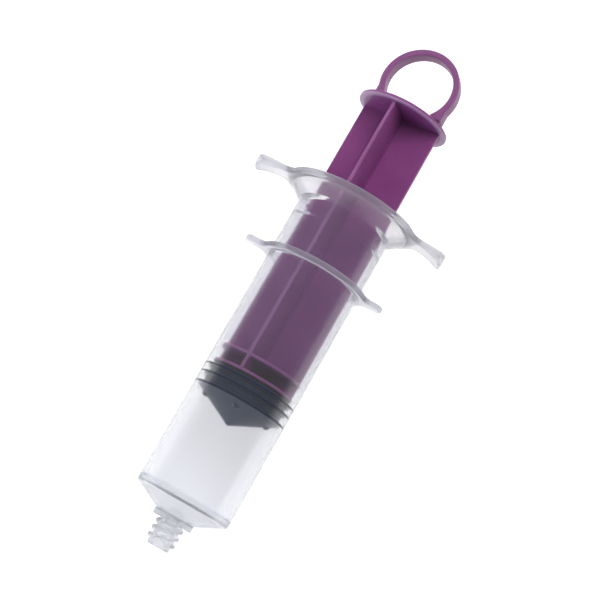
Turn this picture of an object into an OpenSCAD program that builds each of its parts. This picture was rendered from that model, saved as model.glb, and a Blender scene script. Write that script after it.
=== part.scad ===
// Piston syringe with a thumb ring, drawn lying down.
// +X runs along the axis from the mouth of the tip to the thumb ring, +Z is up,
// and the finger wings lie along Y. The origin is the centre of the tip's mouth.

/* [Barrel] */
// Radius of the barrel's bore
bore_r = 14.3; // [14.3:0.1:15.0]
// Wall thickness of the barrel tube
tube_wall = 1.3; // [1.1:0.1:1.6]
// Distance from the tip's mouth to the bottom of the straight bore
bore_start = 17.0; // [16.8:0.1:18.0]
// Distance from the tip's mouth to the funnel at the open end
bore_end = 118.1; // [117:0.1:120]
// Height of the ridge inside the bore that keeps the plunger in
ridge_h = 0.3; // [0.2:0.05:0.35]

/* [Tip] */
// Radius of the socket that takes the feeding connector
socket_r = 2.75; // [2.6:0.05:2.9]
// Depth of the socket
socket_depth = 7.6; // [7:0.1:8.0]
// Radius of the fluid hole between the socket and the chamber
lumen_r = 1.5; // [1:0.1:2]
// Outside radius of the tip under the thread
neck_r = 3.7; // [3.6:0.05:3.9]
// Outside radius of the thread
thread_r = 4.65; // [4.4:0.05:5]
// Distance that the thread moves along in one turn
thread_lead = 4.8; // [4:0.1:5]
// Radius of the round shoulder behind the thread
hub_r = 6.5; // [6:0.05:7]

/* [Finger rests] */
// Outside radius of the funnel's rim
rim_r = 22.3; // [21:0.1:23]
// Half the span of the two large finger wings
wing_span = 33.3; // [30:0.1:36]
// Width of the large finger wings
wing_depth = 8.2; // [6:0.1:10]
// Distance from the tip's mouth to the collar
collar_x = 95.7; // [90:0.1:98]
// Outside radius of the collar
collar_r = 18.0; // [17:0.1:19]
// Half the span of the collar's two small wings
collar_span = 24.1; // [21:0.1:26]

/* [Seal] */
// Distance from the tip's mouth to the point of the seal
seal_x = 42.0; // [30:0.1:60]
// Gap between the seal's ribs and the bore
seal_gap = 0.05; // [0.02:0.01:0.1]

/* [Plunger rod] */
// Turn of the rod and its ring about the axis, against the finger wings
rod_turn = -18; // [-90:1:90]
// Radius across the rod's crossed ribs
cross_r = 13.6; // [12:0.1:13.6]
// Thickness of the crossed ribs
cross_t = 1.15; // [1:0.05:1.6]
// Radius of the thumb plate
plate_r = 15.5; // [15:0.1:16]
// Outside radius of the thumb ring
ring_r = 13.1; // [12.5:0.05:13.5]
// Thickness of the thumb ring's band
ring_t = 2.1; // [1.6:0.05:2.6]
// Width of the thumb ring's band
ring_w = 4.8; // [4:0.1:6]

/* [Hidden] */
// How far cuts reach past the faces they open
over = 1;

// Barrel
tube_r = bore_r + tube_wall;
cone_slope = 0.486;
hub_x = 8.5;
hub_len = 1.95;
ledge_len = 1.4;
ledge_step = 0.8;
cone_end_x = bore_start - ledge_len;
cone_end_r = bore_r - ledge_step;
lumen_x = cone_end_x - (cone_end_r - lumen_r) * cone_slope;
shoulder_x = hub_x + hub_len + (tube_r - hub_r) * cone_slope;
shoulder_round = 1.0;
shoulder_centre = 0.62;
mouth_bevel = 0.45;
hub_bevel = 0.2;
ridge_x = bore_end - 6.9;
ridge_half = 1.7;
ridge_flat = 0.6;

// Funnel and wings
rim_x = bore_end + 3.9;
rim_t = 2.2;
flare_x = bore_end - 2.9;
flare_step = 0.4;
flare_root = 0.5;
flare_rise = 0.2;
funnel_r = 18.4;
wing_t = 2.0;
wing_end_t = 4.1;
wing_root = 15.0;
wing_bend_y = 23.0;
wing_droop = 0.4;
wing_corner = 2.0;
wing_zone = 10;
collar_t = 1.9;
collar_wing_w = 5.0;
edge = 0.4;

// Thread
thread_starts = 2;
thread_x0 = 1.55;
thread_turns = 1.36;
thread_steps = 24;
thread_root_w = 1.7;
thread_crest_w = 0.6;
thread_sink = 0.35;
thread_fade = 0.12;
thread_phase = 108;
thread_tuck = 0.1;

// Seal
seal_cone_slope = 0.5;
seal_rib_r = bore_r - seal_gap;
seal_body_r = 13.2;
seal_nose_r = 1.2;
seal_rib_w = 0.9;
seal_rib_pos = [7.5, 10.9, 13.65];
rib_flank = 0.15;
seal_nose_h = 0.35;
seal_shoulder = 0.4;
seal_bevel = 0.3;
seal_len = 14.65;
bump_r = 1.35;
bump_ring_r = 10.5;
bump_sink = 0.7;
bump_count = 4;

// Rod's head, held in the seal's socket
neck_radius = 4.95;
head_radius = 7.7;
head_back = seal_x + 12.0;
head_front = seal_x + 9.1;
head_taper = 2.4;
head_nose_r = 3.0;
pivot_gap = 0.05;
head_gap = 0.3;
face_gap = 0.15;

// Rod
disc_t = 1.0;
disc_r = 13.6;
disc_x = [seal_x + 15.25, seal_x + 20.4];
plate_x = seal_x + 112.5;
plate_t = 1.2;
ring_x = plate_x + 12.15;
leg_top = plate_x + 6.6;
leg_r = 12.3;
leg_root = 8.2;
foot_h = 1.6;
leg_bend = 1.0;
leg_taper = 0.5;
leg_rise = 0.6;

// Points of an arc, each [radius, distance along the axis]
function arc(r, x, size, from, to, steps) =
    [for (i = [0 : steps]) let (a = from + (to - from) * i / steps)
        [r + size * cos(a), x + size * sin(a)]];

// Solid turned about the X axis from [radius, distance] points
module turned(points) {
    rotate([0, 90, 0]) rotate_extrude($fn = 120) polygon(points);
}

// Flat shape drawn across the axis, with its Y kept and its X downwards
module across(from, thickness) {
    translate([from, 0, 0]) rotate([0, 90, 0]) linear_extrude(thickness) children();
}

// Barrel: one clear moulding
module barrel() {
    color([0.88, 0.88, 0.92, 0.5])
    difference() {
        union() {
            barrel_shell();
            collar_wings();
            for (side = [-1, 1]) finger_wing(side);
            for (i = [0 : thread_starts - 1]) thread_start(thread_phase + i * 360 / thread_starts);
        }
        barrel_hollow();
    }
}

module barrel_shell() {
    turned(concat(
        [[0, 0], [neck_r - mouth_bevel, 0], [neck_r, mouth_bevel], [neck_r, hub_x],
         [hub_r - hub_bevel, hub_x], [hub_r, hub_x + hub_bevel], [hub_r, hub_x + hub_len]],
        [[tube_r - shoulder_round, shoulder_x - shoulder_round * cone_slope]],
        arc(tube_r - shoulder_round, shoulder_x + shoulder_centre, shoulder_round, -45, 0, 4),
        [[tube_r, collar_x], [collar_r - edge, collar_x], [collar_r, collar_x + edge],
         [collar_r, collar_x + collar_t - edge], [collar_r - edge, collar_x + collar_t],
         [tube_r, collar_x + collar_t], [tube_r, flare_x - flare_root],
         [tube_r + flare_step, flare_x + flare_rise],
         [rim_r - edge, rim_x - rim_t], [rim_r, rim_x - rim_t + edge],
         [rim_r, rim_x - edge], [rim_r - edge, rim_x], [0, rim_x]]));
}

module barrel_hollow() {
    turned([
        [0, -over], [socket_r, -over], [socket_r, socket_depth], [lumen_r, socket_depth],
        [lumen_r, lumen_x], [cone_end_r, cone_end_x], [bore_r, bore_start],
        [bore_r, ridge_x - ridge_half], [bore_r - ridge_h, ridge_x - ridge_flat],
        [bore_r - ridge_h, ridge_x + ridge_flat], [bore_r, ridge_x + ridge_half],
        [bore_r, bore_end], [funnel_r, rim_x - edge], [funnel_r + edge, rim_x],
        [funnel_r + edge, rim_x + over], [0, rim_x + over]]);
}

// Two narrow tabs that carry on the collar on both sides
module collar_wings() {
    tab_r = collar_wing_w / 2;
    across(collar_x, collar_t) {
        square([collar_wing_w, 2 * (collar_span - tab_r)], center = true);
        for (side = [-1, 1]) translate([0, side * (collar_span - tab_r)]) circle(tab_r, $fn = 48);
    }
}

// Share of a large wing's bend and thickening that is reached at the distance y from the axis
function wing_share(y) = pow(max(0, (y - wing_bend_y) / (wing_span - wing_bend_y)), 2);
// How far a large wing has bent toward the tip there
function wing_bend(y) = wing_droop * wing_share(y);
// Thickness of a large wing there
function wing_thick(y) = wing_t + (wing_end_t - wing_t) * wing_share(y);

module finger_wing(side) {
    steps = 10;
    ys = [for (i = [0 : steps]) wing_root + (wing_span - wing_root) * i / steps];
    top = [for (y = ys) [rim_x - wing_bend(y), side * y]];
    under = [for (i = [steps : -1 : 0]) [rim_x - wing_bend(ys[i]) - wing_thick(ys[i]), side * ys[i]]];
    intersection() {
        translate([0, 0, -wing_depth / 2]) linear_extrude(wing_depth) polygon(concat(top, under));
        across(rim_x - wing_zone, wing_zone + over) wing_plan();
    }
}

// Outline of the large wings seen along the axis, with rounded corners
module wing_plan() {
    square([wing_depth, 2 * (wing_span - wing_corner)], center = true);
    square([wing_depth - 2 * wing_corner, 2 * wing_span], center = true);
    for (y = [-1, 1], z = [-1, 1])
        translate([z * (wing_depth / 2 - wing_corner), y * (wing_span - wing_corner)])
            circle(wing_corner, $fn = 48);
}

// One start of the tip's thread: a four-cornered ridge carried along a helix
module thread_start(phase) {
    rings = ceil(thread_turns * thread_steps);
    section = [[neck_r - thread_sink, -thread_root_w / 2], [thread_r, -thread_crest_w / 2],
               [thread_r, thread_crest_w / 2], [neck_r - thread_sink, thread_root_w / 2]];
    points = [for (i = [0 : rings], p = section)
        let (f = i / rings,
             a = phase + f * thread_turns * 360,
             rise = min(1, f / thread_fade, (1 - f) / thread_fade),
             r = min(p[0], neck_r - thread_tuck + (thread_r - neck_r + thread_tuck) * rise),
             x = thread_x0 + f * thread_turns * thread_lead + p[1])
        [x, r * cos(a), r * sin(a)]];
    sides = [for (i = [0 : rings - 1], j = [0 : 3])
        [4 * i + j, 4 * i + (j + 1) % 4, 4 * (i + 1) + (j + 1) % 4, 4 * (i + 1) + j]];
    ends = [[3, 2, 1, 0], [for (j = [0 : 3]) 4 * rings + j]];
    polyhedron(points, concat(sides, ends), convexity = 4);
}

// Seal: the rubber piston head
module seal() {
    rib = seal_rib_w / 2;
    shoulder_r = seal_body_r + seal_shoulder;
    ribs = [for (p = seal_rib_pos) seal_x + p];
    end = seal_x + seal_len;
    color([0.18, 0.21, 0.27])
    difference() {
        union() {
            turned(concat(
                [[0, seal_x], [seal_nose_r, seal_x + seal_nose_h]],
                [[shoulder_r, seal_x + shoulder_r * seal_cone_slope]],
                [for (x = ribs, p = [[seal_body_r, -rib - rib_flank], [seal_rib_r, -rib + rib_flank],
                                     [seal_rib_r, rib - rib_flank], [seal_body_r, rib + rib_flank]])
                    if (!(x == ribs[0] && p[1] == -rib - rib_flank)) [p[0], x + p[1]]],
                [[seal_body_r, end - seal_bevel], [seal_body_r - seal_bevel, end], [0, end]]));
            for (i = [0 : bump_count - 1]) rotate([i * 360 / bump_count, 0, 0])
                translate([seal_x + bump_ring_r * seal_cone_slope + bump_sink, 0, bump_ring_r])
                    sphere(bump_r, $fn = 32);
        }
        seal_socket();
    }
}

module seal_socket() {
    turned([
        [0, head_front - head_taper - head_gap],
        [head_nose_r + head_gap, head_front - head_taper - head_gap],
        [head_radius + head_gap, head_front - head_gap],
        [head_radius + head_gap, head_back + face_gap],
        [neck_radius + pivot_gap, head_back + face_gap],
        [neck_radius + pivot_gap, seal_x + seal_len + over],
        [0, seal_x + seal_len + over]]);
}

// Plunger rod: one coloured moulding with its head, discs, crossed ribs, thumb plate and ring
module plunger_rod() {
    color([0.47, 0.24, 0.45])
    rotate([rod_turn, 0, 0]) {
        rod_head();
        for (x = disc_x) across(x, disc_t) circle(disc_r, $fn = 120);
        crossed_ribs();
        across(plate_x, plate_t) circle(plate_r, $fn = 120);
        thumb_ring();
    }
}

module rod_head() {
    turned([
        [0, head_front - head_taper], [head_nose_r, head_front - head_taper],
        [head_radius, head_front], [head_radius, head_back],
        [neck_radius, head_back], [neck_radius, disc_x[0] + disc_t / 2], [0, disc_x[0] + disc_t / 2]]);
}

module crossed_ribs() {
    across(disc_x[0], plate_x - disc_x[0] + plate_t / 2) {
        square([cross_t, 2 * cross_r], center = true);
        square([2 * cross_r, cross_t], center = true);
    }
}

// Thumb ring: a round band that runs straight down into the plate at both sides
module thumb_ring() {
    foot = plate_x + plate_t / 2;
    translate([0, 0, -ring_w / 2]) linear_extrude(ring_w) difference() {
        union() {
            intersection() {
                translate([ring_x, 0]) circle(ring_r, $fn = 120);
                translate([foot, -2 * ring_r]) square([4 * ring_r, 4 * ring_r]);
            }
            for (side = [0, 1]) mirror([0, side])
                polygon([[foot, leg_root], [foot, leg_r], [leg_top - leg_bend, leg_r],
                         [leg_top + leg_rise, leg_r - leg_taper], [leg_top, leg_root]]);
        }
        translate([ring_x, 0]) circle(ring_r - ring_t, $fn = 120);
        translate([foot - over, -leg_root]) square([foot_h + 2 * over, 2 * leg_root]);
    }
}

barrel();
seal();
plunger_rod();
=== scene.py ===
import math

import bmesh
import bpy
import numpy as np
from mathutils import Matrix, Vector


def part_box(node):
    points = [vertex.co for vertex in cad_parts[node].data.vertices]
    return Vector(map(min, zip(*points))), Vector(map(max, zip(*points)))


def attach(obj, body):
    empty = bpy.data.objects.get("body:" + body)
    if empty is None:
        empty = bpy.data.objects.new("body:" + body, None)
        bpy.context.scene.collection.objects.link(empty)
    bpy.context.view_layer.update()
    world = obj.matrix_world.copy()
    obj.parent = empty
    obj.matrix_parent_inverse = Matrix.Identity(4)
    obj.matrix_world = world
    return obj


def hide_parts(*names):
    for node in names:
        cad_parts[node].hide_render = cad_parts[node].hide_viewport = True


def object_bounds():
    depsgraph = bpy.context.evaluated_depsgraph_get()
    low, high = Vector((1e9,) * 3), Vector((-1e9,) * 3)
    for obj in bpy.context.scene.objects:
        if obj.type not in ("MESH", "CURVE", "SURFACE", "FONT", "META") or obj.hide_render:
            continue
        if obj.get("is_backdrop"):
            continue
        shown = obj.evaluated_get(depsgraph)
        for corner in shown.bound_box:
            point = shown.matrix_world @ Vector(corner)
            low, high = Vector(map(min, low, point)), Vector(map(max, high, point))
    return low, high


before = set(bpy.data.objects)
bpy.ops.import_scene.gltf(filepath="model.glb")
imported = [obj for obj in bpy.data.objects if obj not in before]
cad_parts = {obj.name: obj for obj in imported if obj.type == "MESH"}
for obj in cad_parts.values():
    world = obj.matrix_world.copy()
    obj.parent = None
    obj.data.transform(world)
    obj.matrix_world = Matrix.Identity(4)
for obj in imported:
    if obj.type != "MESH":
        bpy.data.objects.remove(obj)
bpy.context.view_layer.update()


# ---------------------------------------------------------------- barrel
# The barrel is one milky clear polypropylene moulding: threaded tip, cone, tube, collar and a
# funnel with two finger wings. Nothing is fixed to it; the seal slides in its bore. Sizes here
# and below are in millimetres, and become metres when a mesh is made.
MM = 0.001
low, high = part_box("barrel")
barrel_end = high.x / MM
rim_r = high.z / MM
wing_span = high.y / MM
tube_r = 15.6
crease_angle = 38  # faces that meet at more than this keep a sharp edge

bore_r = 14.3
bore_start = 17.0
bore_end = barrel_end - 3.9
ledge_r = bore_r - 0.8
ledge_x = bore_start - 1.4
ridge_x = bore_end - 6.9
ridge_h = 0.3
funnel_r = 18.4

socket_r = 2.75
socket_depth = 7.6
lumen_r = 1.5
mouth_bevel = 0.12

hub_r = 6.5
hub_x = 8.5
hub_len = 1.95
cone_slope = 0.486

neck_r = 3.7
neck_start = 0.56
neck_end = hub_x - 0.36
neck_step = 0.11  # gap between the rings that carry the thread
thread_r = 4.65
thread_lead = 4.8
thread_starts = 2
thread_start_x = 1.55
thread_turns = 1.36
thread_phase = 108
thread_crest = 0.26  # half the width of the crest
thread_foot = 0.92  # half the width of the foot
thread_fade = 0.12  # share of its length in which each end rises

collar_x = 95.7
collar_t = 1.9
collar_r = 18.0
collar_span = 24.1
collar_tab_w = 5.0
collar_root = 3.0  # how widely its tabs melt into it
collar_round = 0.5
collar_fillet = 0.35

flare_x = bore_end - 2.9
flare_melt = 1.2  # how widely the underside of the wings melts into the flare
rim_t = 2.2
rim_round = 0.55
wing_w = 8.2
wing_t = 2.0
wing_end_t = 4.1
wing_corner = 2.0
wing_root = 4.0  # how widely the wings melt into the rim
wing_bend_y = 23.0
wing_droop = 0.4
wing_zone = 18  # degrees to each side of a wing in which the rings have close points


def soft_corners(corners, steps=5):
    """A profile through [radius, place along the axis, rounding] corners, with each rounding as an arc."""
    profile = []
    for i, (r, x, rounding) in enumerate(corners):
        here = np.array([r, x], float)
        if rounding <= 0 or i in (0, len(corners) - 1):
            profile.append(tuple(here))
            continue
        back = np.array(corners[i - 1][:2], float) - here
        ahead = np.array(corners[i + 1][:2], float) - here
        back = back / np.linalg.norm(back)
        ahead = ahead / np.linalg.norm(ahead)
        half = math.acos(max(-1.0, min(1.0, float(back @ ahead)))) / 2
        reach = rounding / math.tan(half)
        middle = here + (back + ahead) / np.linalg.norm(back + ahead) * rounding / math.sin(half)
        start = here + back * reach - middle
        end = here + ahead * reach - middle
        sweep = math.atan2(start[0] * end[1] - start[1] * end[0], float(start @ end))
        for step in range(steps + 1):
            turn = sweep * step / steps
            c, s = math.cos(turn), math.sin(turn)
            profile.append((middle[0] + c * start[0] - s * start[1],
                            middle[1] + s * start[0] + c * start[1]))
    return profile


def loft(name, rings, closed):
    """A mesh through rings of points. It closes on its first ring, or has two flat ends."""
    count, around = len(rings), len(rings[0])
    following = list(range(1, count)) + ([0] if closed else [])
    faces = [(a * around + i, b * around + i, b * around + (i + 1) % around, a * around + (i + 1) % around)
             for a, b in zip(range(count), following)
             for i in range(around)]
    if not closed:
        faces += [tuple(range(around)), tuple(reversed(range((count - 1) * around, count * around)))]
    mesh = bpy.data.meshes.new(name)
    mesh.from_pydata([tuple(p) for p in np.concatenate(rings) * MM], [], faces)
    mesh.validate()
    piece = bpy.data.objects.new(name, mesh)
    bpy.context.scene.collection.objects.link(piece)
    return piece


def face_outwards(piece):
    """Turns every face outwards and shades the mesh smooth, with creases left where faces meet sharply."""
    bm = bmesh.new()
    bm.from_mesh(piece.data)
    bmesh.ops.recalc_face_normals(bm, faces=bm.faces)
    if bm.calc_volume(signed=True) < 0:
        bmesh.ops.reverse_faces(bm, faces=bm.faces)
    for face in bm.faces:
        face.smooth = True
    for edge in bm.edges:
        edge.smooth = len(edge.link_faces) == 2 and edge.calc_face_angle(0.0) < math.radians(crease_angle)
    bm.to_mesh(piece.data)
    bm.free()


def barrel_turns():
    """Angles round the barrel, closer together where the finger wings leave the rim."""
    fine = np.radians(np.arange(-wing_zone, wing_zone, 0.3))
    coarse = np.radians(np.arange(wing_zone, 180 - wing_zone, 1.2))
    return np.concatenate([fine, coarse, fine + math.pi, coarse + math.pi])


turns = barrel_turns()
across_y = np.cos(turns)
across_z = np.sin(turns)


def barrel_ring(r, x):
    """Points of one ring of the barrel; r and x are numbers, or one value for each angle."""
    r = r + 0 * turns
    x = x + 0 * turns
    return np.stack([x, r * across_y, r * across_z], 1)


def melted(one, other, width):
    """The lower of two values, rounded off where they come within width of each other."""
    near = np.maximum(width - abs(one - other), 0) / width
    return np.minimum(one, other) - near * near * width / 4


def outside(r, disc_r, tab_half_w, tab_span, corner, root):
    """How far points at radius r lie outside a round plate with two tabs, melted together at their roots."""
    y = abs(r * across_y)
    z = abs(r * across_z)
    dy = y - (tab_span - corner)
    dz = z - (tab_half_w - corner)
    tab = np.hypot(np.maximum(dy, 0), np.maximum(dz, 0)) + np.minimum(np.maximum(dy, dz), 0) - corner
    return melted(r - disc_r, tab, root)


def plate_outline(inset, *shape):
    """Radius, for each angle, at which a plate's outline moved in by inset is reached."""
    inner = np.full(len(turns), tube_r)
    outer = np.full(len(turns), wing_span + 2.0)
    for _halving in range(40):
        middle = (inner + outer) / 2
        beyond = outside(middle, *shape) > -inset
        inner, outer = np.where(beyond, inner, middle), np.where(beyond, middle, outer)
    return (inner + outer) / 2


def round_edge(rounding, steps=6):
    """Pairs of (inset from the outline, rise above the underside) for a rounded edge's lower half."""
    angles = [math.pi / 2 * i / steps for i in range(1, steps + 1)]
    return [(rounding * (1 - math.sin(a)), rounding * (1 - math.cos(a))) for a in angles]


def thread_height(x):
    """Height of the two-start thread above the neck, for each angle, at x."""
    height = np.zeros(len(turns))
    for start in range(thread_starts):
        part_turn = (turns - math.radians(thread_phase + 360 * start / thread_starts)) / (2 * math.pi)
        for whole in range(-2, 4):
            share = (part_turn + whole) / thread_turns
            ends = np.clip(np.minimum(share, 1 - share) / thread_fade, 0, 1)
            away = abs(x - thread_start_x - (part_turn + whole) * thread_lead)
            slope = np.clip((thread_foot - away) / (thread_foot - thread_crest), 0, 1)
            ridge = slope * slope * (3 - 2 * slope) * ends
            height = np.maximum(height, ridge * (thread_r - neck_r))
    return height


def wing_share(y):
    """0 up to the bend of a wing, and then rising to 1 at its end."""
    return (np.maximum(y - wing_bend_y, 0) / (wing_span - wing_bend_y)) ** 2


def wing_bend(y):
    """How far a wing has drooped towards the tip, at y."""
    return wing_droop * wing_share(y)


def wing_thickness(y):
    """A wing's thickness at y: it swells towards its end."""
    return wing_t + (wing_end_t - wing_t) * wing_share(y)


def tip_outside():
    """The mouth, the threaded neck, the round hub, the cone and the rounded shoulder."""
    shoulder_x = hub_x + hub_len + (tube_r - hub_r) * cone_slope
    mouth = soft_corners([
        (socket_r + mouth_bevel, 0, 0),
        (neck_r - 0.4, 0, 0.1),
        (neck_r, 0.5, 0)])
    neck = [barrel_ring(neck_r + thread_height(x), x) for x in np.arange(neck_start, neck_end, neck_step)]
    hub = soft_corners([
        (neck_r, hub_x - 0.3, 0),
        (neck_r, hub_x, 0.28),
        (hub_r, hub_x, 0.3),
        (hub_r, hub_x + hub_len, 0.2),
        (tube_r, shoulder_x, 1.0),
        (tube_r, shoulder_x + 3, 0)], 6)
    return [barrel_ring(r, x) for r, x in mouth] + neck + [barrel_ring(r, x) for r, x in hub]


def collar():
    """The thin round collar with its two narrow tabs, filleted into the tube on both sides."""
    shape = (collar_r, collar_tab_w / 2, collar_span, collar_tab_w / 2 - 0.01, collar_root)
    edge = plate_outline(collar_round, *shape)
    foot = []
    for a in np.linspace(0, math.pi / 2, 5):
        foot_r = tube_r + collar_fillet * (1 - math.cos(a))
        foot.append(barrel_ring(foot_r, collar_x - collar_fillet * (1 - math.sin(a))))
    under = [barrel_ring(tube_r + collar_fillet + (edge - tube_r - collar_fillet) * s, collar_x)
             for s in np.linspace(0, 1, 7)[1:]]
    rim = [barrel_ring(plate_outline(inset, *shape), collar_x + rise)
           for inset, rise in round_edge(collar_round)]
    half = foot + under + rim
    other_face = np.array([2 * collar_x + collar_t, 0, 0])
    mirrored = [ring * np.array([-1, 1, 1]) + other_face for ring in reversed(half)]
    return half + mirrored


def flare_and_wings():
    """The cone that opens the tube out to the rim, and the two bent finger wings that leave it."""
    shape = (rim_r, wing_w / 2, wing_span, wing_corner, wing_root)
    edge = plate_outline(rim_round, *shape)

    def under_x(r):
        cone = flare_x + (r - tube_r) * (barrel_end - rim_t - flare_x) / (rim_r - 0.4 - tube_r)
        y = abs(r * across_y)
        wing = barrel_end - wing_thickness(y) - wing_bend(y)
        return melted(cone, wing, flare_melt)

    def top_x(r):
        return barrel_end - wing_bend(abs(r * across_y))

    foot = soft_corners([
        (tube_r, flare_x - 3, 0),
        (tube_r, flare_x - 0.1, 1.2),
        (tube_r + 1.2, flare_x + 0.75, 0)], 5)
    rings = [barrel_ring(r, x) for r, x in foot[:-1]]
    shares = np.linspace(0, 1, 30)
    start_r = tube_r + 1.0
    for share in shares:
        r = start_r + (edge - start_r) * share
        rings.append(barrel_ring(r, under_x(r)))
    rim = [(plate_outline(inset, *shape), rise) for inset, rise in round_edge(rim_round)]
    rings += [barrel_ring(r, under_x(np.minimum(r, edge)) + rise) for r, rise in rim]
    rings += [barrel_ring(r, top_x(r) - rise) for r, rise in reversed(rim)]
    lip_r = funnel_r + 0.6
    for share in reversed(shares):
        r = lip_r + (edge - lip_r) * share
        rings.append(barrel_ring(r, top_x(r)))
    return rings


def barrel_inside():
    """The funnel, the bore and its keeping ridge, the chamber's cone, the fluid hole and the socket."""
    lumen_x = ledge_x - (ledge_r - lumen_r) * cone_slope
    path = soft_corners([
        (funnel_r + 0.5, barrel_end, 0),
        (funnel_r + 0.2, barrel_end, 0.15),
        (funnel_r, barrel_end - 0.4, 0.3),
        (bore_r, bore_end, 0.2),
        (bore_r, ridge_x + 1.7, 0.6),
        (bore_r - ridge_h, ridge_x + 0.6, 0.6),
        (bore_r - ridge_h, ridge_x - 0.6, 0.6),
        (bore_r, ridge_x - 1.7, 0.6),
        (bore_r, 90, 0),
        (bore_r, 65, 0),
        (bore_r, 40, 0),
        (bore_r, bore_start, 0.8),
        (ledge_r, ledge_x, 0.7),
        (lumen_r, lumen_x, 0.4),
        (lumen_r, socket_depth, 0.15),
        (socket_r, socket_depth, 0.2),
        (socket_r, 0.3, 0),
        (socket_r + mouth_bevel, 0, 0)], 5)
    return [barrel_ring(r, x) for r, x in path[:-1]]


long_tube = [barrel_ring(tube_r, x) for x in np.linspace(22, collar_x - 3, 8)]
short_tube = [barrel_ring(tube_r, x) for x in np.linspace(collar_x + collar_t + 2, flare_x - 5, 3)]
barrel_outside = tip_outside() + long_tube + collar() + short_tube + flare_and_wings()
barrel = loft("barrel_moulding", barrel_outside + barrel_inside(), closed=True)
face_outwards(barrel)


def new_finish(name):
    """A material, its node tree, its Principled shader, and the place that its patterns are drawn in."""
    finish = bpy.data.materials.new(name)
    finish.use_nodes = True
    tree = finish.node_tree
    place = tree.nodes.new("ShaderNodeTexCoord").outputs["Object"]
    return finish, tree, tree.nodes["Principled BSDF"], place


def feed(tree, source, socket):
    """Gives a socket another node's result, or a plain number or colour."""
    if isinstance(source, bpy.types.NodeSocket):
        tree.links.new(source, socket)
    else:
        socket.default_value = source


def cloud(tree, place, scale, detail=3.0):
    """A soft random pattern; scale is in patches for each metre."""
    noise = tree.nodes.new("ShaderNodeTexNoise")
    noise.inputs["Scale"].default_value = scale
    noise.inputs["Detail"].default_value = detail
    feed(tree, place, noise.inputs["Vector"])
    return noise.outputs["Fac"]


def between(tree, pattern, lowest, highest):
    """Takes a random pattern, most of which lies from 0.3 to 0.7, to the range from lowest to highest."""
    span = tree.nodes.new("ShaderNodeMapRange")
    span.inputs["From Min"].default_value = 0.3
    span.inputs["From Max"].default_value = 0.7
    span.inputs["To Min"].default_value = lowest
    span.inputs["To Max"].default_value = highest
    feed(tree, pattern, span.inputs["Value"])
    return span.outputs["Result"]


def raised(tree, pattern, height):
    """A bump of that height, in metres, from a 0 to 1 pattern."""
    bump = tree.nodes.new("ShaderNodeBump")
    bump.inputs["Distance"].default_value = height
    feed(tree, pattern, bump.inputs["Height"])
    return bump.outputs["Normal"]


def worked_out(tree, how, one, other):
    """One value worked out from two."""
    node = tree.nodes.new("ShaderNodeMath")
    node.operation = how
    feed(tree, one, node.inputs[0])
    feed(tree, other, node.inputs[1])
    return node.outputs[0]


def both(tree, one, other):
    """The product of two values, which is 1 only where both are."""
    return worked_out(tree, "MULTIPLY", one, other)


def highest_of(tree, first, *others):
    """The largest of several values."""
    largest = first
    for value in others:
        largest = worked_out(tree, "MAXIMUM", largest, value)
    return largest


def fade(tree, value, zone, at_start, at_end):
    """Goes smoothly from at_start to at_end as a distance crosses a zone, which is in millimetres."""
    span = tree.nodes.new("ShaderNodeMapRange")
    span.interpolation_type = "SMOOTHSTEP"
    span.inputs["From Min"].default_value = zone[0] * MM
    span.inputs["From Max"].default_value = zone[1] * MM
    span.inputs["To Min"].default_value = at_start
    span.inputs["To Max"].default_value = at_end
    feed(tree, value, span.inputs["Value"])
    return span.outputs["Result"]


def tinted(tree, share, first, second):
    """The first colour where share is 0, the second where it is 1, and a mix between."""
    mix = tree.nodes.new("ShaderNodeMix")
    mix.data_type = "RGBA"
    feed(tree, share, mix.inputs[0])
    feed(tree, first, mix.inputs[6])
    feed(tree, second, mix.inputs[7])
    return mix.outputs[2]


def from_axis(tree, place):
    """Distance from the syringe's axis, and place along it, in metres, to vary a finish by."""
    parts = tree.nodes.new("ShaderNodeSeparateXYZ")
    feed(tree, place, parts.inputs[0])
    flat = tree.nodes.new("ShaderNodeCombineXYZ")
    feed(tree, parts.outputs["Y"], flat.inputs["Y"])
    feed(tree, parts.outputs["Z"], flat.inputs["Z"])
    length = tree.nodes.new("ShaderNodeVectorMath")
    length.operation = "LENGTH"
    feed(tree, flat.outputs[0], length.inputs[0])
    return length.outputs["Value"], parts.outputs["X"]


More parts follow.
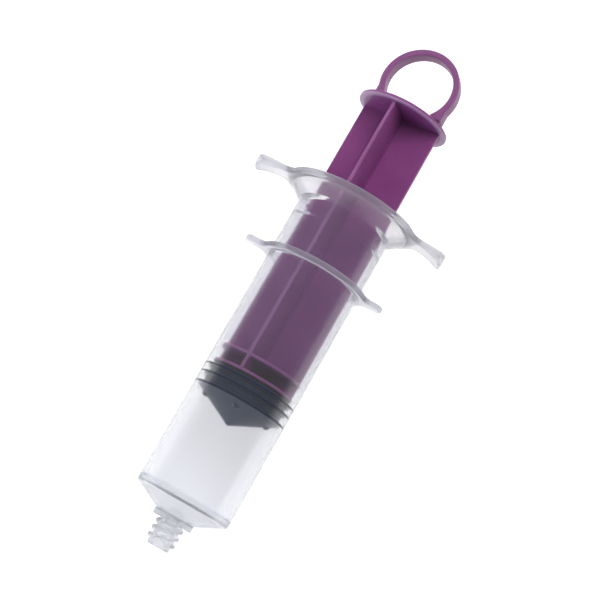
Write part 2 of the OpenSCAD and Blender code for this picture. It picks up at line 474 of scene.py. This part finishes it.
def milky_clear():
    """Clear polypropylene: the thin tube is nearly clear; the thicker tip, collar and wings are milkier."""
    finish, tree, shader, place = new_finish("milky clear polypropylene")
    out, along = from_axis(tree, place)
    past_tip = fade(tree, along, (14.2, 15.8), 0.0, 1.0)
    clear_tint = tinted(tree, past_tip, (0.895, 0.893, 0.893, 1), (0.962, 0.960, 0.964, 1))
    feed(tree, clear_tint, shader.inputs["Base Color"])
    feed(tree, between(tree, cloud(tree, place, 900), 0.07, 0.14), shader.inputs["Roughness"])
    feed(tree, raised(tree, cloud(tree, place, 160), 0.00002), shader.inputs["Normal"])
    shader.inputs["IOR"].default_value = 1.49
    shader.inputs["Transmission Weight"].default_value = 0.985

    # The milk in the plastic is bluish in the tube, and whiter in the tip, the collar and the wings.
    beyond_tube = fade(tree, out, (15.8, 16.8), 0.0, 1.0)
    before_tube = fade(tree, along, (15.0, 18.0), 1.0, 0.0)
    whiter = highest_of(tree, beyond_tube, before_tube)
    milk = tree.nodes.new("ShaderNodeBsdfTranslucent")
    feed(tree, tinted(tree, whiter, (0.78, 0.81, 1.0, 1), (0.93, 0.93, 0.96, 1)), milk.inputs["Color"])

    # Each part of the barrel has its own share of milk, and the largest share holds.
    rim_milk = fade(tree, out, (18.0, 21.5), 0.0, 0.28)
    tip_milk = fade(tree, along, (9.5, 12.0), 0.22, 0.0)
    cone_milk = fade(tree, along, (17.0, 18.2), 0.15, 0.022)
    tube_milk = fade(tree, along, (56.0, 66.0), 0.016, 0.092)
    plate_milk = fade(tree, out, (15.7, 16.8), 0.0, 0.55)
    up_to_collar = fade(tree, along, (102.0, 106.0), 1.0, 0.0)
    collar_milk = both(tree, up_to_collar, plate_milk)
    cloudy = tree.nodes.new("ShaderNodeMixShader")
    feed(tree, highest_of(tree, rim_milk, tip_milk, cone_milk, tube_milk, collar_milk), cloudy.inputs[0])
    feed(tree, shader.outputs[0], cloudy.inputs[1])
    feed(tree, milk.outputs[0], cloudy.inputs[2])

    # Light reaches the seal and the rod straight through the wall, slightly dimmed.
    passing = tree.nodes.new("ShaderNodeBsdfTransparent")
    passing.inputs["Color"].default_value = (0.90, 0.90, 0.91, 1)
    ray = tree.nodes.new("ShaderNodeLightPath")
    wall = tree.nodes.new("ShaderNodeMixShader")
    feed(tree, ray.outputs["Is Shadow Ray"], wall.inputs[0])
    feed(tree, cloudy.outputs[0], wall.inputs[1])
    feed(tree, passing.outputs[0], wall.inputs[2])
    feed(tree, wall.outputs[0], tree.nodes["Material Output"].inputs["Surface"])

    # Thick plastic is greyer than thin plastic.
    dimming = tree.nodes.new("ShaderNodeVolumeAbsorption")
    dimming.inputs["Color"].default_value = (0.5, 0.5, 0.55, 1)
    dimming.inputs["Density"].default_value = 90
    feed(tree, dimming.outputs[0], tree.nodes["Material Output"].inputs["Volume"])
    return finish


barrel.data.materials.append(milky_clear())
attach(barrel, "barrel")
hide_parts("barrel")


# ---------------------------------------------------------------- seal
# The seal is the piston's dark blue-grey rubber head: a cone with four small stand-off bumps and
# three ribs that wipe the bore. It is pushed over the rod's head, which turns inside it.
low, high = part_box("seal")
seal_x = low.x / MM
seal_end = high.x / MM
seal_slope = 0.5
groove_r = 13.2
cone_base_r = groove_r + 0.35
rib_r = bore_r + 0.02
rib_w = 0.9
rib_places = (7.5, 10.9, 13.65)

bump_count = 4
bump_r = 1.35
bump_place_r = 10.5
bump_sink = 0.7
bump_stretch = 1.05
bumps_from_r = 8
bumps_to_x = seal_x + 6.5

rod_neck_r = 4.95
rod_head_r = 7.7
rod_head_back = seal_x + 12.0
rod_head_front = seal_x + 9.1
rod_head_taper = 2.4
rod_nose_r = 3.0
head_gap = 0.3
neck_gap = 0.05
axis_r = 0.02  # a turned shape's end rings are this small, so that they have an area
seal_turns = np.linspace(0, 2 * math.pi, 360, endpoint=False)


def turned_ring(r, x, angles=seal_turns):
    """Points of one round ring about the axis."""
    return np.stack([x + 0 * angles, r * np.cos(angles), r * np.sin(angles)], 1)


def seal_profile():
    """The seal from its point, over the cone and ribs, round the back and into its socket."""
    nose = [(axis_r, seal_x + 0.02, 0), (1.0, seal_x + 0.42, 0.9)]
    cone_radii = [*np.arange(2.0, 9.0, 1.0), *np.arange(9.0, 12.4, 0.16)]
    cone = [(r, seal_x + r * seal_slope, 0) for r in cone_radii]
    body = [(cone_base_r, seal_x + cone_base_r * seal_slope, 0.2)]
    for number, place in enumerate(rib_places):
        x = seal_x + place
        if number:
            body.append((groove_r, x - rib_w / 2 - 0.2, 0.25))
        body += [
            (rib_r, x - rib_w / 2 + 0.05, 0.28),
            (rib_r, x + rib_w / 2 - 0.05, 0.28),
            (groove_r, x + rib_w / 2 + 0.2, 0.25)]
    socket_back = rod_head_back + 0.15
    socket_front = rod_head_front - rod_head_taper - head_gap
    back = [
        (groove_r, seal_end, 0.2),
        (rod_neck_r + neck_gap, seal_end, 0.15),
        (rod_neck_r + neck_gap, socket_back, 0.1),
        (rod_head_r + head_gap, socket_back, 0.2),
        (rod_head_r + head_gap, rod_head_front - head_gap, 0.2),
        (rod_nose_r + head_gap, socket_front, 0.2),
        (axis_r, socket_front, 0)]
    return soft_corners(nose + cone + body + back, 5)


def seal_ring(r, x):
    """One ring of the seal, which rises where it crosses a stand-off bump on the cone."""
    ring = turned_ring(r, x)
    if r <= bumps_from_r or x >= bumps_to_x:
        return ring
    for number in range(bump_count):
        turn = 2 * math.pi * number / bump_count
        centre = np.array([seal_x + bump_place_r * seal_slope + bump_sink,
                           bump_place_r * -math.sin(turn), bump_place_r * math.cos(turn)])
        across = np.hypot(ring[:, 1] - centre[1], ring[:, 2] - centre[2])
        dome = centre[0] - np.sqrt(np.maximum(bump_r ** 2 - across ** 2, 0)) * bump_stretch
        ring[:, 0] = np.where(across < bump_r, np.minimum(ring[:, 0], dome), ring[:, 0])
    return ring


seal = loft("seal_rubber_head", [seal_ring(r, x) for r, x in seal_profile()], closed=False)
face_outwards(seal)


def on_bumps(tree, place):
    """Near 1 on the four stand-off bumps, whose tops are smoother and carry painted shade, and 0 elsewhere.
    """
    parts = tree.nodes.new("ShaderNodeSeparateXYZ")
    feed(tree, place, parts.inputs[0])

    def squared(value):
        return both(tree, value, value)

    def root(value):
        return worked_out(tree, "POWER", value, 0.5)

    y = root(squared(parts.outputs["Y"]))
    z = root(squared(parts.outputs["Z"]))
    out = worked_out(tree, "SUBTRACT", highest_of(tree, y, z), bump_place_r * MM)
    side = worked_out(tree, "MINIMUM", y, z)
    away = root(worked_out(tree, "ADD", squared(out), squared(side)))
    near = fade(tree, away, (1.0, 1.4), 0.9, 0.0)
    in_front = fade(tree, parts.outputs["X"], (seal_x + 6.3, seal_x + 6.6), 1.0, 0.0)
    return both(tree, near, in_front)


def dark_rubber():
    """Dark rubber with a fine matt grain, and bumps with smoother tops and painted shade on them."""
    finish, tree, shader, place = new_finish("dark seal rubber")
    bumps = on_bumps(tree, place)
    patches = between(tree, cloud(tree, place, 420, 5), 0, 1)
    shade = tinted(tree, patches, (0.007, 0.014, 0.038, 1), (0.011, 0.023, 0.056, 1))
    # Painted shade: the tops of the bumps are darkened to near black in the base colour.
    feed(tree, tinted(tree, bumps, shade, (0.002, 0.003, 0.005, 1)), shader.inputs["Base Color"])
    grain = between(tree, cloud(tree, place, 1500), 0.36, 0.52)
    rubbed = worked_out(tree, "MULTIPLY", bumps, 0.8)
    feed(tree, both(tree, grain, worked_out(tree, "SUBTRACT", 1.0, rubbed)), shader.inputs["Roughness"])
    feed(tree, raised(tree, cloud(tree, place, 5200, 4), 0.00003), shader.inputs["Normal"])
    shader.inputs["IOR"].default_value = 1.52
    shader.inputs["Specular IOR Level"].default_value = 0.3
    return finish


seal.data.materials.append(dark_rubber())
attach(seal, "seal")
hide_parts("seal")


# ---------------------------------------------------------------- plunger rod
# The plunger rod is one purple polypropylene moulding: a round head held in the seal, two
# discs, two crossed ribs, a round thumb plate and a thumb ring whose feet run into the plate.
# It lies along the same axis as the seal, turned a little about it.
rod_turn = math.radians(-18)
cross_r = 13.6
cross_t = 1.15
cross_fillet = 0.5
disc_r = 13.6
disc_t = 1.0
disc_places = (seal_x + 15.25, seal_x + 20.4)
plate_x = seal_x + 112.5
plate_t = 1.2
plate_r = 15.5
ring_x = plate_x + 12.15
ring_r = 13.1
ring_t = 2.1
ring_w = 4.8
ring_round = 0.5
leg_out = 12.3
leg_in = 8.2
leg_top = ring_x - 4.4


def rod_disc(name, x, thickness, radius, rounding):
    """A round disc with a rounded edge."""
    angles = np.linspace(0, 2 * math.pi, 240, endpoint=False)
    profile = soft_corners([
        (axis_r, x, 0),
        (radius, x, rounding),
        (radius, x + thickness, rounding),
        (axis_r, x + thickness, 0)], 5)
    return loft(name, [turned_ring(r, place, angles) for r, place in profile], closed=False)


def rod_head():
    """The head and neck inside the seal, which reach into the first disc."""
    angles = np.linspace(0, 2 * math.pi, 120, endpoint=False)
    neck_end = disc_places[0] + disc_t / 2
    profile = soft_corners([
        (axis_r, rod_head_front - rod_head_taper, 0),
        (rod_nose_r, rod_head_front - rod_head_taper, 0.3),
        (rod_head_r, rod_head_front, 0.4),
        (rod_head_r, rod_head_back, 0.3),
        (rod_neck_r, rod_head_back, 0.2),
        (rod_neck_r, neck_end, 0),
        (axis_r, neck_end, 0)], 4)
    return loft("rod_head", [turned_ring(r, x, angles) for r, x in profile], closed=False)


def cross_section(thicker):
    """The crossed ribs cut across: rounded tips, and rounded inner corners."""
    half = cross_t / 2 + thicker
    quarter = soft_corners([
        (cross_r, 0, 0),
        (cross_r, half, 0.35),
        (half, half, 0.45),
        (half, cross_r, 0.35),
        (0, cross_r, 0)], 4)[1:-1]
    points = []
    for turn in range(4):
        c, s = round(math.cos(turn * math.pi / 2)), round(math.sin(turn * math.pi / 2))
        points += [(c * y - s * z, s * y + c * z) for y, z in quarter]
    return np.array(points)


def crossed_ribs():
    """The ribs from the first disc to the plate, which thicken in a small fillet where they meet it."""
    start = disc_places[0] + disc_t / 2
    stations = [(start, 0)] + [(x, 0) for x in np.linspace(start + 12, plate_x - 6, 9)]
    for a in np.linspace(0, math.pi / 2, 6):
        x = plate_x - cross_fillet + cross_fillet * math.sin(a)
        stations.append((x, cross_fillet * (1 - math.cos(a))))
    stations.append((plate_x + plate_t / 2, cross_fillet))
    rings = []
    for x, thicker in stations:
        flat = cross_section(thicker)
        rings.append(np.column_stack([np.full(len(flat), x), flat]))
    return loft("rod_ribs", rings, closed=False)


def ring_sides():
    """Inner and outer edge of the thumb ring's band, from one foot round to the other."""
    inner_r = ring_r - ring_t
    join = math.acos(leg_in / inner_r)
    foot_x = plate_x + plate_t / 2
    join_x = ring_x - inner_r * math.sin(join)
    pairs = [((x, leg_in), (x, leg_out)) for x in np.linspace(foot_x, join_x, 5)[:-1]]
    for a in np.linspace(-join, math.pi / 2, 44):
        inner = (ring_x + inner_r * math.sin(a), inner_r * math.cos(a))
        outer = (ring_x + ring_r * math.sin(a), ring_r * math.cos(a))
        if outer[0] < ring_x and outer[1] < leg_out:
            outer = (min(leg_top, ring_x + (leg_out / max(math.cos(a), 0.1)) * math.sin(a)), leg_out)
        pairs.append((inner, outer))
    other_half = [((inner[0], -inner[1]), (outer[0], -outer[1])) for inner, outer in reversed(pairs[:-1])]
    return pairs + other_half


def thumb_ring():
    """The band: a rounded bar carried round the ring and down both legs."""
    half_w = ring_w / 2
    rings = []
    for inner, outer in ring_sides():
        inner = np.array(inner)
        outer = np.array(outer)
        width = np.linalg.norm(outer - inner)
        out = (outer - inner) / width
        bar = soft_corners([
            (0, 0, 0),
            (0, half_w, ring_round),
            (width, half_w, ring_round),
            (width, -half_w, ring_round),
            (0, -half_w, ring_round),
            (0, 0, 0)], 5)[1:-1]
        rings.append(np.array([[*(inner + out * u), w] for u, w in bar]))
    return loft("rod_ring", rings, closed=False)


def melt_together(name, parts):
    """Joins overlapping solids into one closed mesh."""
    whole = parts[0]
    whole.name = name
    for part in parts:
        face_outwards(part)
    for part in parts[1:]:
        join = whole.modifiers.new("join", "BOOLEAN")
        join.operation = "UNION"
        join.solver = "EXACT"
        join.object = part
    evaluated = whole.evaluated_get(bpy.context.evaluated_depsgraph_get())
    mesh = bpy.data.meshes.new_from_object(evaluated)
    whole.modifiers.clear()
    whole.data = mesh
    for part in parts[1:]:
        bpy.data.objects.remove(part)
    return whole


rod_parts = [crossed_ribs(), rod_head()]
rod_parts += [rod_disc("rod_disc", x, disc_t, disc_r, 0.3) for x in disc_places]
rod_parts += [rod_disc("rod_plate", plate_x, plate_t, plate_r, 0.4), thumb_ring()]
rod = melt_together("plunger_rod_moulding", rod_parts)
rod.data.transform(Matrix.Rotation(rod_turn, 4, "X"))
face_outwards(rod)


def purple_plastic():
    """Purple polypropylene: a soft gloss over a fine orange-peel, with a paler colour painted on the rib,
    disc and plate edges and on the ring, standing in for light let through their thin plastic.
    """
    finish, tree, shader, place = new_finish("purple polypropylene")
    out, along = from_axis(tree, place)
    patches = between(tree, cloud(tree, place, 90, 4), 0, 1)
    shade = tinted(tree, patches, (0.205, 0.048, 0.182, 1), (0.235, 0.062, 0.210, 1))
    # Painted light: the rib, disc and plate edges and the whole thumb ring get a paler base colour in place
    # of light let through thin plastic and caught on edges, on top of the real subsurface scattering.
    painted_edge_light = fade(tree, out, (cross_r - 0.4, cross_r + 0.8), 0.0, 0.8)
    below_plate = fade(tree, along, (plate_x + 0.1, plate_x + 0.5), 1.0, 0.1)
    painted_ring_light = fade(tree, along, (plate_x + 1.2, plate_x + 3), 0.0, 0.18)
    painted_light_share = highest_of(tree, both(tree, painted_edge_light, below_plate), painted_ring_light)
    feed(tree, tinted(tree, painted_light_share, shade, (0.45, 0.30, 0.46, 1)), shader.inputs["Base Color"])
    feed(tree, between(tree, cloud(tree, place, 700), 0.34, 0.46), shader.inputs["Roughness"])
    feed(tree, raised(tree, cloud(tree, place, 1300, 3), 0.000015), shader.inputs["Normal"])
    shader.inputs["IOR"].default_value = 1.49
    shader.inputs["Subsurface Weight"].default_value = 0.7
    shader.inputs["Subsurface Radius"].default_value = (1.0, 0.45, 0.9)
    shader.inputs["Subsurface Scale"].default_value = 0.002
    return finish


rod.data.materials.clear()
rod.data.materials.append(purple_plastic())
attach(rod, "plunger_rod")
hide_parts("plunger_rod")


# ---------------------------------------------------------------- floor, light and camera
# A seamless pale sheet lies under the syringe, in a white room with three soft panels. The
# camera looks down on it from near the tip. These sizes are in metres.
floor_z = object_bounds()[0].z - 0.0002
floor_half = 3.0
floor_mesh = bpy.data.meshes.new("floor")
floor_corners = [(-floor_half, -floor_half, floor_z), (floor_half, -floor_half, floor_z),
                 (floor_half, floor_half, floor_z), (-floor_half, floor_half, floor_z)]
floor_mesh.from_pydata(floor_corners, [], [(0, 1, 2, 3)])
floor = bpy.data.objects.new("floor", floor_mesh)
bpy.context.scene.collection.objects.link(floor)
paper = bpy.data.materials.new("pale paper")
paper.use_nodes = True
paper_look = paper.node_tree.nodes["Principled BSDF"].inputs
paper_look["Base Color"].default_value = (0.5, 0.5, 0.5, 1)
paper_look["Roughness"].default_value = 0.9
paper_look["Emission Color"].default_value = (1, 1, 1, 1)
paper_look["Emission Strength"].default_value = 0.74
paper_look["Specular IOR Level"].default_value = 0.1
floor_mesh.materials.append(paper)
floor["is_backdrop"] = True

# The room is bright at the horizon and dimmer overhead.
world = bpy.data.worlds.new("white room")
world.use_nodes = True
room = world.node_tree
direction = room.nodes.new("ShaderNodeSeparateXYZ")
feed(room, room.nodes.new("ShaderNodeTexCoord").outputs["Generated"], direction.inputs[0])
brightness = room.nodes.new("ShaderNodeMapRange")
brightness.interpolation_type = "SMOOTHSTEP"
brightness.inputs["From Min"].default_value = 0.0
brightness.inputs["From Max"].default_value = 0.22
brightness.inputs["To Min"].default_value = 0.55
brightness.inputs["To Max"].default_value = 0.17
feed(room, direction.outputs["Z"], brightness.inputs["Value"])
feed(room, brightness.outputs["Result"], room.nodes["Background"].inputs["Strength"])
room.nodes["Background"].inputs["Color"].default_value = (1, 1, 1, 1)
bpy.context.scene.world = world
bpy.context.scene.view_settings.view_transform = "Standard"


def soft_panel(name, place, aim, size, power, tint=(1, 1, 1)):
    """A large lamp that lights the syringe, but isn't seen in it or through it."""
    light = bpy.data.lights.new(name, "AREA")
    light.shape = "RECTANGLE"
    light.size = size[0]
    light.size_y = size[1]
    light.energy = power
    light.color = tint
    panel = bpy.data.objects.new(name, light)
    panel.location = place
    panel.rotation_euler = (Vector(aim) - Vector(place)).to_track_quat("-Z", "Y").to_euler()
    panel.visible_glossy = False
    panel.visible_transmission = False
    bpy.context.scene.collection.objects.link(panel)


soft_panel("key panel", (0.34, -0.03, 0.50), (0.09, 0, 0), (0.34, 0.34), 2.6)
soft_panel("left panel", (0.05, 0.5, 0.25), (0.09, 0, 0), (0.4, 0.3), 0.7)
soft_panel("tip panel", (-0.22, 0.10, 0.13), (0.05, 0, 0), (0.3, 0.2), 0.6, (0.72, 0.86, 1.0))

eye = Vector((-0.0035, -0.0248, 0.4564))
target = Vector((0.0872, -0.00031, 0))
roll = 0.52
forward = (target - eye).normalized()
level = forward.cross(Vector((1, 0, 0))).normalized()
upright = level.cross(forward)
right = math.cos(roll) * level + math.sin(roll) * upright
above = -math.sin(roll) * level + math.cos(roll) * upright
camera = bpy.data.objects.new("camera", bpy.data.cameras.new("camera"))
camera.data.lens = 90
camera.data.sensor_width = 36
camera.data.clip_start = 0.01
camera.data.clip_end = 20
camera.matrix_world = Matrix((
    (right.x, above.x, -forward.x, eye.x),
    (right.y, above.y, -forward.y, eye.y),
    (right.z, above.z, -forward.z, eye.z),
    (0, 0, 0, 1)))
bpy.context.scene.collection.objects.link(camera)
bpy.context.scene.camera = camera

low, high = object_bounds()
